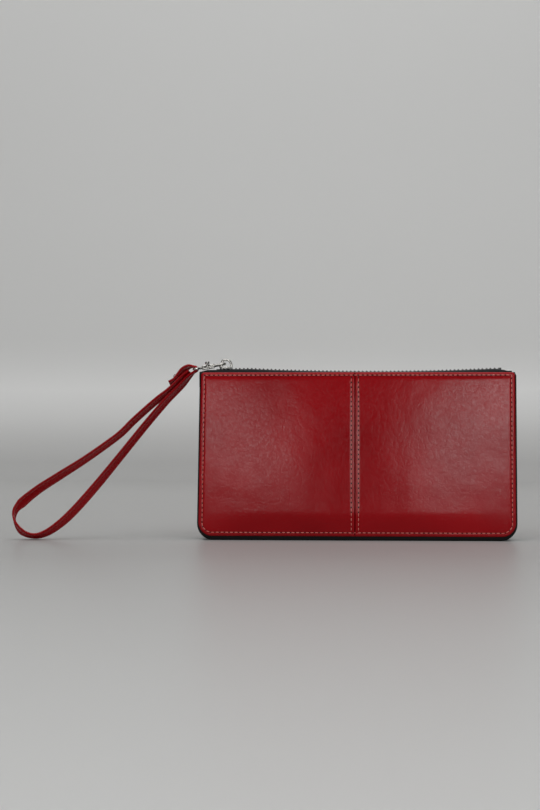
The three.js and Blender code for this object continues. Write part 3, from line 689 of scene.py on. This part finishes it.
def tape(side, face):
    """The tape's section, a polyline in y and z, moved down by the sag and by a drop at each end of the tape.
    Solidify gives it its thickness."""
    low, high = span(f"{face}_zip_tape")
    inner, wall = min(abs(low[1]), abs(high[1])), max(abs(low[1]), abs(high[1])) - 0.3
    x = np.linspace(-98.4, 98.7, 120)
    drop = sag(x) - 1.6 * smooth_step((x - 91) / 6) - 1.2 * smooth_step((-93 - x) / 5)
    bend = np.linspace(0, 1, 7)
    level = np.stack([inner + 0.1 + bend * 1.9, np.full(7, CHAIN_Z - 0.4)], -1)
    fall = np.stack([inner + 2 + (wall - inner - 2) * np.sin(bend * np.pi / 2),
                     CHAIN_Z - 0.4 - 2.2 * (1 - np.cos(bend * np.pi / 2))], -1)
    down = np.stack([np.full(6, wall), np.linspace(CHAIN_Z - 3.6, low[2], 6)], -1)
    section = np.concatenate([level, fall[1:], down])
    hang = np.clip((section[:, 1] - low[2]) / (CHAIN_Z - low[2]), 0, 1)
    points = np.stack([
        np.broadcast_to(x[:, None], (len(x), len(section))),
        np.broadcast_to(side * section[None, :, 0], (len(x), len(section))),
        section[None, :, 1] + drop[:, None] * hang[None]], -1)
    width = np.concatenate([[0], np.cumsum(np.linalg.norm(np.diff(section, axis=0), axis=1))])
    uv = np.stack(np.meshgrid(x, width, indexing="ij"), -1)
    faces = grid_faces(len(x), len(section))
    piece = make_piece(f"{face}_tape", points, faces, None, uv, closed=False)
    thick = piece.modifiers.new("cloth", "SOLIDIFY")
    thick.thickness, thick.offset = 0.55 * MM, 0
    piece.data.materials.append(zip_tape_cloth)
    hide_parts(f"{face}_zip_tape")
    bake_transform(piece)


for side, face in ((-1, "front"), (1, "rear")):
    print(face, "row has", tooth_row(side, face), "teeth")
    tape(side, face)

# %% [markdown]
# ## Slider, clasp and swivel
# These are small castings in zinc, tumbled until every edge is round and then nickel plated. Each is built
# from two kinds of part: a plate with a round edge, and a wire carried along a path. The slider's bridge and
# the clasp's hook are wires, and the clasp's body is a plate.


# %% Slider
DECK, DECK_EDGE = 0.7, 0.35  # the slider's plates and the rounding of their edges
TEETH_GAP = 0.3  # from the teeth to the slider's plates


def wire(path, side, section, loop=False):
    """A sweep whose up direction is the path's own direction turned about the side direction."""
    path = np.asarray(path, float)
    ahead = np.roll(path, -1, 0) - np.roll(path, 1, 0) if loop else np.gradient(path, axis=0)
    side = np.broadcast_to(np.asarray(side, float), path.shape)
    up = unit(np.cross(unit(ahead), side))
    return sweep(path, side, up, section), swept_faces(len(path), len(section), loop=loop)


def slider_parts(node, deck, half_gap, bridge_bar):
    """Two plates with a waist, their turned-in sides, the post between them and the arched bridge."""
    low, high = span(node)
    nose, tail, wide = low[0], high[0], high[1]
    length = tail - nose
    t = np.linspace(0, 1, 9)
    waist = wide * (1 - 0.16 * smooth_step(t * 1.2))
    lower_edge = np.stack([nose + 1.2 + (length - 1.8) * t, -waist], -1)
    upper_edge = lower_edge[::-1] * [1, -1]
    over, round_tail = np.linspace(-1, 1, 9), np.linspace(-1, 1, 7)
    nose_arc = np.stack([nose + 0.9 * np.abs(over) ** 2.4, -over * wide * 0.92], -1)
    tail_arc = np.stack([tail - 0.5 * round_tail**2, round_tail * wide * 0.72], -1)
    outline = np.concatenate([nose_arc, lower_edge, tail_arc, upper_edge])
    middle_z = low[2] + deck + half_gap
    parts = [round_plate(outline, base, base + deck, DECK_EDGE) for base in (low[2], middle_z + half_gap)]
    for side in (-1, 1):
        flange = lower_edge[1:-1] * [1, -side] * [1, 0.93]
        for z in (middle_z - half_gap + 0.2, middle_z + half_gap - 0.2):
            path = np.stack([flange[:, 0], flange[:, 1], np.full(7, z)], -1)
            parts.append(wire(path, [0, 1, 0], ellipse(0.45, 0.55, 8)))
    post = np.array([[nose + 1.05, 0, middle_z + way * (half_gap + 0.1)] for way in (-1, 1)])
    parts.append(wire(post, [0, 1, 0], ellipse(0.7, 0.6, 10)))
    deck_z = middle_z + half_gap + deck
    leg, heel = nose + 1.0 + bridge_bar / 2, tail - 0.3 - bridge_bar / 2
    crown = high[2] - bridge_bar / 2
    rise = crown - deck_z
    a = np.linspace(0, np.pi / 2, 8)
    foot, tall = deck_z - 0.2, rise + 0.2
    front = np.stack([leg + rise * 0.35 * (1 - np.cos(a)), foot + tall * np.sin(a) ** 0.75], -1)
    back = np.stack([heel - (heel - leg) * 0.45 * (1 - np.cos(a)), foot + tall * np.sin(a)], -1)[::-1]
    line = np.concatenate([front, back])
    path = np.stack([line[:, 0], 0 * line[:, 0], line[:, 1]], -1)
    parts.append(wire(path, [0, 1, 0], ellipse(bridge_bar * 0.9, bridge_bar * 0.62, 14, 0.75)))
    return parts


def metal_piece(name, parts, body, *nodes):
    """Parts joined into one plated piece that takes the place of its nodes."""
    points, faces = merged(parts)
    piece = make_piece(name, points, faces, body)
    piece.data.materials.append(nickel)
    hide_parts(*nodes)
    return piece


slider = slider_parts("slider_body", DECK, TOOTH_HALF + TEETH_GAP, 1.2)
metal_piece("zip_slider", slider, "slider", "slider_body")

# %% Clasp, gate and swivel ring
DROOP = math.radians(10)
HOOK = 3.0  # radius of the hook's bend; the bolt lies this far below the clasp's middle line
GATE_END, SPRING_END = 11.4, 14.1  # back of the bolt, and the wall that its spring pushes on
STUD_AT = 10.7  # thumb stud, back from the pivot
BAR_AT = 19.65  # bar of the ring that the strap turns round
BRIDGE_IN = 3.7  # from the slider's nose to the clasp's pivot under the bridge
PIVOT_UP = 1.65  # and from the upper plate up to it
slider_top = CHAIN_Z + TOOTH_HALF + TEETH_GAP + DECK
PIVOT = np.array([span("slider_body")[0][0] + BRIDGE_IN, 0.0, slider_top + PIVOT_UP])


def on_clasp(points):
    """From the clasp's own axes, x running back from its pivot, to the frame: a turn by the droop angle."""
    x, y, z = points[..., 0], points[..., 1], points[..., 2]
    c, s = math.cos(DROOP), math.sin(DROOP)
    return np.stack([PIVOT[0] - c * x - s * z, PIVOT[1] + y, PIVOT[2] - s * x + c * z], -1)


def placed(parts):
    """Each part's points, carried from the clasp's axes to the frame."""
    return [(on_clasp(p), f) for p, f in parts]


def clasp_body():
    """A flat plate with a U-shaped hook of wire. The plate leaves a channel for the gate, as two plates."""
    a = np.radians(np.linspace(-90, 90, 15))
    bend = np.stack([HOOK - HOOK * np.cos(a), HOOK * np.sin(a), 0 * a], -1)
    arm = np.array([[7.0, HOOK, 0.0]])
    hook = np.concatenate([[[3.6, -HOOK, 0.0]], bend, arm])
    outline = panel_outline(6.5, 14.9, -2.2, 4.0, 0.9, 1.4)
    strip = panel_outline(6.5, 14.6, -4.0, -2.0, 0.7, 0.5)
    body, body_faces = round_plate(outline, -1.5, 1.4, 0.6)
    rail_low, low_faces = round_plate(strip, -1.5, -0.65, 0.25)
    return [wire(hook, [0, 0, 1], ellipse(0.85, 0.9, 10)), (body, body_faces), (rail_low, low_faces)]


def gate():
    """The bolt is a wire, and its thumb stud a stem with a domed knob."""
    bolt = np.array([[x, -HOOK, 0.0] for x in (3.9, 5.0, 8.0, GATE_END)])
    t = np.linspace(0, 1, 7)
    stem = np.stack([np.full(7, STUD_AT), np.full(7, -HOOK), t * 1.9], -1)
    knob = stem + [0.0, 0.0, 1.5]
    dome = ellipse(1, 1, 14)[None] * (1.5 * np.sqrt(np.clip(1 - (2 * t - 1) ** 4 * 0.9, 0, 1)))[:, None, None]
    knob_points = sweep(knob, np.tile([1.0, 0, 0], (7, 1)), np.tile([0, 1.0, 0], (7, 1)), dome)
    return [wire(bolt, [0, 0, 1], ellipse(0.44, 0.44, 10)), wire(stem, [1, 0, 0], ellipse(0.42, 0.42, 10)),
            (knob_points, swept_faces(7, 14))]


def coil():
    """The gate's spring: a helix of four turns behind the bolt."""
    t = np.linspace(0, 1, 72)
    turn = t * 8 * np.pi
    radial = np.stack([0 * t, np.cos(turn), np.sin(turn)], -1)
    path = np.stack([11.77 + 2.06 * t, 0 * t - HOOK, 0 * t], -1) + 0.32 * radial
    return wire(path, radial, ellipse(0.12, 0.12, 6))


def swivel():
    """A stud with a round head, and a flat ring of wire whose far bar the strap turns round."""
    t = np.linspace(0, 1, 7)
    head = np.stack([12.0 + 1.0 * t, 0 * t, 0 * t], -1)
    dome = ellipse(1, 1, 14)[None] * (1.5 * np.sqrt(1 - (2 * t - 1) ** 4 * 0.9))[:, None, None]
    head_points = sweep(head, np.tile([0, 1.0, 0], (7, 1)), np.tile([0, 0, 1.0], (7, 1)), dome)
    neck = np.array([[12.5, 0, 0], [14.0, 0, 0], [15.6, 0, 0], [16.2, 0, 0.0]])
    loop = panel_outline(BAR_AT - 3.5, BAR_AT, -4.95, 4.95, 1.6, 1.6, 7)
    loop = np.stack([loop[:, 0], loop[:, 1], 0 * loop[:, 0]], -1)
    return [(head_points, swept_faces(7, 14)), wire(neck, [0, 0, 1], ellipse(0.75, 0.75, 10)),
            wire(loop, [0, 0, 1], ellipse(0.72, 0.85, 10), loop=True)]


metal_piece("snap_clasp", placed(clasp_body()), "clasp", "clasp_body")
metal_piece("clasp_thumb_gate", placed(gate()), "gate", "clasp_gate")
metal_piece("strap_ring", placed(swivel()), "swivel", "swivel_ring")
return_spring = metal_piece("return_spring", placed([coil()]), None, "gate_spring")
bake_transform(return_spring)
print("pivot of the clasp:", PIVOT.round(2))

# %% [markdown]
# ## The wrist strap
# The strap is one strip of leather with both edges folded under and stitched, so it is thicker along its
# edges than down its middle. It turns round the ring's bar, hangs in a loop that touches the table and comes
# back to be sewn between its own two layers. Its path is a smooth curve through stations measured from the
# bar, and it slowly twists: near the ring its face looks up, and along the loop it leans towards the front.
# A cloth strip could be dropped by simulation, but a short stiff strap keeps the bend that it was sewn with,
# so its stations are written down.

# %% Path of the strap
BAR = on_clasp(np.array([BAR_AT, 0.0, 0.0]))
# A station is its place along X and Z from the bar, in millimetres, and the twist there, in degrees.
CUT_END = [(-15.8, -9.2, 22), (-12, -7.1, 24), (-9.4, -4, 28), (-6.8, -0.6, 26), (-3.4, 1.65, 14)]
WRAP_RADIUS = 1.67  # from the bar's middle to the strap's
WRAP = [(WRAP_RADIUS * math.cos(math.radians(a)), WRAP_RADIUS * math.sin(math.radians(a)), 0)
        for a in (100, 50, 0, -45, -90)]
LOWER = [(-3.2, -4.6, 12), (-7.4, -9.4, 22), (-12, -14.2, 24), (-16.4, -18.6, 26), (-23, -26.2, 27),
         (-31, -35.8, 28), (-46, -54.5, 30), (-61, -73, 34), (-76, -90, 36), (-84, -97.4, 34),
         (-92, -102.8, 28), (-98, -104.8, 24), (-103, -104.4, 26), (-108, -101.8, 34)]
UPPER = [(-111.8, -95.5, 44), (-111.4, -89, 46), (-107.4, -84, 44), (-98, -76.2, 38), (-84, -67, 34),
         (-69, -57.4, 28), (-54, -46.8, 25), (-46, -40.6, 24), (-38, -32.6, 24), (-23, -19.2, 24),
         (-16, -13.8, 24), (-12, -10.2, 27), (-8, -6.3, 28), (-4.8, -3.4, 26), (-2.7, -1.7, 20)]


def smooth_through(stations, spacing):
    """A centripetal Catmull-Rom curve through stations, sampled evenly along its length."""
    p = np.asarray(stations, float)
    p = np.concatenate([[2 * p[0] - p[1]], p, [2 * p[-1] - p[-2]]])
    knots = np.concatenate([[0], np.cumsum(np.linalg.norm(np.diff(p[:, :2], axis=0), axis=1) ** 0.5)])
    out = []
    for i in range(1, len(p) - 2):
        t0, t1, t2, t3 = knots[i - 1: i + 3]
        t = np.linspace(t1, t2, 24, endpoint=False)[:, None]
        a1 = (t1 - t) / (t1 - t0) * p[i - 1] + (t - t0) / (t1 - t0) * p[i]
        a2 = (t2 - t) / (t2 - t1) * p[i] + (t - t1) / (t2 - t1) * p[i + 1]
        a3 = (t3 - t) / (t3 - t2) * p[i + 1] + (t - t2) / (t3 - t2) * p[i + 2]
        b1 = (t2 - t) / (t2 - t0) * a1 + (t - t0) / (t2 - t0) * a2
        b2 = (t3 - t) / (t3 - t1) * a2 + (t - t1) / (t3 - t1) * a3
        out.append((t2 - t) / (t2 - t1) * b1 + (t - t1) / (t2 - t1) * b2)
    fine = np.concatenate([*out, p[-2:-1]])
    run = np.concatenate([[0], np.cumsum(np.linalg.norm(np.diff(fine[:, :2], axis=0), axis=1))])
    at = np.linspace(0, run[-1], int(run[-1] / spacing))
    return np.stack([np.interp(at, run, fine[:, k]) for k in range(fine.shape[1])], -1), run[-1]


line, strap_length = smooth_through([*CUT_END, *WRAP, *LOWER, *UPPER], 0.8)
LEAN = 0.13  # the loop drifts forwards by this much for each millimetre along the wallet
LEAN_FROM = -8  # beyond this place
drift = LEAN * np.minimum(0, line[:, 0] - LEAN_FROM)
strap_path = np.stack([BAR[0] + line[:, 0], drift, BAR[2] + line[:, 1]], -1)
strap_ahead = unit(np.gradient(strap_path, axis=0))
twist = np.radians(line[:, 2])[:, None]
flat_side = unit(np.cross(np.cross(strap_ahead, [0, 1.0, 0]), strap_ahead))
flat_up = unit(np.cross(strap_ahead, flat_side))
print("strap length along its middle:", round(strap_length, 1), "mm in", len(strap_path), "steps")

# %% [markdown]
# The twist is a turn of the section about the path. On the way down the loop and on the way back the path
# runs in opposite directions, so the turn changes sign with it: both layers lean the same way. The change
# is averaged over a short run by the ring, where the strap turns sharply, and over a long one far from it.


# %% Build the strap
STRAP_WIDE, STRAP_THICK = 8.0, 1.4
turn_way = np.where(strap_ahead[:, :1] < 0, 1.0, -1.0)
quick, slow = (np.convolve(np.pad(turn_way[:, 0], n, mode="edge"), np.ones(2 * n + 1) / (2 * n + 1), "valid")
               for n in (3, 12))
turn_way = (quick + (slow - quick) * smooth_step((-60 - line[:, 0]) / 20))[:, None]
strap_side = np.cos(twist) * flat_side + np.sin(twist) * turn_way * flat_up
strap_up = unit(np.cross(strap_ahead, strap_side))


def strap_section(count=17):
    """Half the thickness across the strip: thin in the middle, rising to the folded edges, then round."""
    s = np.linspace(-1, 1, count)
    fold = 0.5 + 0.5 * smooth_step((np.abs(s) - 0.42) / 0.22)
    edge = np.sqrt(1 - np.clip((np.abs(s) - 0.86) / 0.14, 0, 1) ** 2)
    half = STRAP_THICK / 2 * fold * np.maximum(edge, 0.05)
    upper = np.stack([s * STRAP_WIDE / 2, half], -1)
    return np.concatenate([upper, (upper * [1, -1])[::-1][1:-1]])


section = strap_section()
strap_points = sweep(strap_path, strap_side, strap_up, section)
strap_faces = swept_faces(len(strap_path), len(section))
strap = make_piece("leather_strap", strap_points, strap_faces, "strap", smooth_angle=60)
strap.data.materials.append(strap_leather)
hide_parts("wrist_strap")


STRAP_ROW = 2.5  # a stitch row to the strap's middle
SEWN = slice(6, -6)  # the rows stop six steps short of the cut ends


def strap_stitches(offset):
    """Two rows, one near each edge, on both faces: each stitch lies at the section's height there."""
    rows = []
    for face in (-1, 1):
        edge_line = strap_path + strap_side * offset + strap_up * face * (STRAP_THICK / 2 * 0.93)
        spot, way = evenly(edge_line[SEWN], PITCH)
        run = np.concatenate([[0], np.cumsum(np.linalg.norm(np.diff(edge_line[SEWN], axis=0), axis=1))])
        at = (np.arange(len(spot)) + 0.5) * run[-1] / len(spot)
        out = np.stack([np.interp(at, run, strap_up[SEWN, k]) for k in range(3)], -1) * face
        out = unit(out - way * np.sum(out * way, axis=1, keepdims=True))
        rows += stitch_mesh(spot, way, out, wide=0.42, high=0.34, rise=0.05)
    return rows


parts = strap_stitches(-STRAP_ROW) + strap_stitches(STRAP_ROW)
points, faces = merged(parts)
strap_sewing = make_piece("strap_stitching", points, faces, "strap", smooth_angle=180)
strap_sewing.data.materials.append(strap_thread)

tail = np.array([(-0.4, 0.0, 0), (0.4, 1.4, 0), (0.1, 2.9, 0), (0.9, 4.2, 0)])
tail_line, _ = smooth_through(tail, 0.3)
start = strap_path[4]
tail_path = start + np.stack([tail_line[:, 0], 0 * tail_line[:, 0] - 2.4, 0.4 + tail_line[:, 1]], -1)
tail_points, tail_faces = wire(tail_path, [0, 1, 0], ellipse(0.26, 0.26, 6))
thread_tail = make_piece("thread_tail", tail_points, tail_faces, "strap", smooth_angle=180)
thread_tail.data.materials.append(strap_thread)

for piece in (strap, strap_sewing, thread_tail):
    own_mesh(piece)

# %% [markdown]
# ## Stage, light and camera
# The wallet stands on a pale, slightly glossy table that curves up into a pale wall. Two upright soft boxes
# in front give each half of the face its own highlight, and a large one overhead lights the table. The
# camera stands a little lower than the zip and to the left, with a long lens.


# %% Table and wall
def sweep_stage():
    """The stage's profile: a level table, a quarter turn of radius r that starts at back, then the wall."""
    a = np.linspace(0, np.pi / 2, 24)
    back, r = 620.0, 160.0
    level = np.stack([np.linspace(-1500, back, 40), np.zeros(40)], -1)
    curve = np.stack([back + r * np.sin(a), r - r * np.cos(a)], -1)[1:]
    wall = np.stack([np.full(20, back + r), np.linspace(r, 1900, 20)], -1)[1:]
    profile = np.concatenate([level, curve, wall])
    x = np.linspace(-2200, 2200, 30)
    points = np.stack([
        np.broadcast_to(x[None, :], (len(profile), 30)),
        np.broadcast_to(profile[:, :1], (len(profile), 30)),
        np.broadcast_to(profile[:, 1:], (len(profile), 30))], -1)
    return make_piece("table_and_wall", points, grid_faces(len(profile), 30), None, closed=False)


def stage_finish():
    """Painted light and shade in the base colour: the largest of three ramps and a faint cloud make it paler
    towards the camera, darkest by the wallet, a little paler behind it and palest up the wall."""
    f = Finish("pale_table", **principled((0.6, 0.6, 0.6), 0.42, specular=0.5))
    here = f.place.outputs["Object"]
    grain = f.noise(here, 400, 2)
    parts = f.add("ShaderNodeSeparateXYZ", Vector=here).outputs
    # Painted light and shade: near, far and upright brighten and darken the base colour along the table and
    # up the wall.
    near = f.range(parts[1], 0.57, 0.11, -0.6, -0.1)
    far = f.range(parts[1], 0.11, 0.26, 0.0, 0.45)
    lower, upper = f.range(parts[2], 0.1, 1.0, 0.0, 0.1), f.range(parts[2], 1.0, 0.86, 0.3, 0.8)
    upright = f.maths("MINIMUM", lower, upper)
    depth = f.maths("MAXIMUM", f.maths("MAXIMUM", near, far), upright)
    shade = f.maths("ADD", depth, f.range(f.noise(here, 3), -0.03, 0.03))
    shade = f.tint(shade, (0.36, 0.358, 0.352), (0.84, 0.842, 0.83))
    return f.to(Base_Color=shade, Normal=f.bump(grain, 0.01))


table = sweep_stage()
table.data.materials.append(stage_finish())


# %% Lights
def soft_box(name, place, aim, wide, high, power, colour=(1, 1, 1)):
    """An area light that faces a point."""
    data = bpy.data.lights.new(name, "AREA")
    data.shape, data.size, data.size_y, data.energy, data.color = "RECTANGLE", wide, high, power, colour
    light = bpy.data.objects.new(name, data)
    light.location = place
    light.rotation_euler = (Vector(aim) - Vector(place)).to_track_quat("-Z", "Y").to_euler()
    bpy.context.scene.collection.objects.link(light)
    return light


soft_box("box_left", (-0.31, -1.5, 0.075), (-0.05, 0, 0.05), 0.36, 0.14, 1.25)
soft_box("box_right", (0.365, -1.5, 0.1), (0.05, 0, 0.05), 0.38, 0.18, 2.2)
soft_box("overhead", (0, -0.6, 1.7), (0, 0.0, 0), 2.4, 1.9, 29)
world = bpy.data.worlds.new("room")
world.use_nodes = True
world.node_tree.nodes["Background"].inputs[0].default_value = (0.9, 0.92, 0.93, 1)
world.node_tree.nodes["Background"].inputs[1].default_value = 0.06
bpy.context.scene.world = world
bpy.context.scene.view_settings.view_transform = "Standard"

# %% Camera
camera_data = bpy.data.cameras.new("camera")
camera_data.lens, camera_data.sensor_width = 64.0, 36.0
camera = bpy.data.objects.new("camera", camera_data)
camera.location = (-0.015, -0.909, 0.0877)
camera.rotation_euler = (math.radians(90 - 0.198), 0, math.radians(2.48))
camera_data.clip_start, camera_data.clip_end = 0.01, 20
bpy.context.scene.collection.objects.link(camera)
bpy.context.scene.camera = camera
